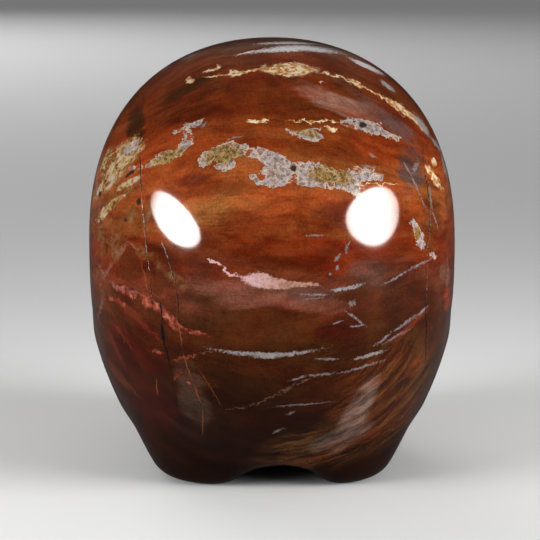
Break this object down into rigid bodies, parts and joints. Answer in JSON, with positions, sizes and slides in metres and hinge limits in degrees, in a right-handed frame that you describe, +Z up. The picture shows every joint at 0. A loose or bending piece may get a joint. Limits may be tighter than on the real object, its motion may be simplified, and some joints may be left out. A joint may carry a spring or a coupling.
{
  "type": "petrified wood skull carving",
  "caption": "Human skull carved in the round from one piece of petrified wood and polished, standing on the ground undersides of its jaw and nape.",
  "frame": {"origin": "centre of the bounding box in plan, on the ground plane the skull stands on", "axes": "+Z up, +Y towards the back of the head (the side the picture shows), -Y towards the face, X from ear to ear"},
  "size_m": [0.084, 0.126, 0.1],
  "materials": {
    "petrified_wood": "polished, red-brown with orange, cream and lilac veins"
  },
  "bodies": {
    "root": {"skull_carving": "petrified_wood"}
  },
  "joints": []
}
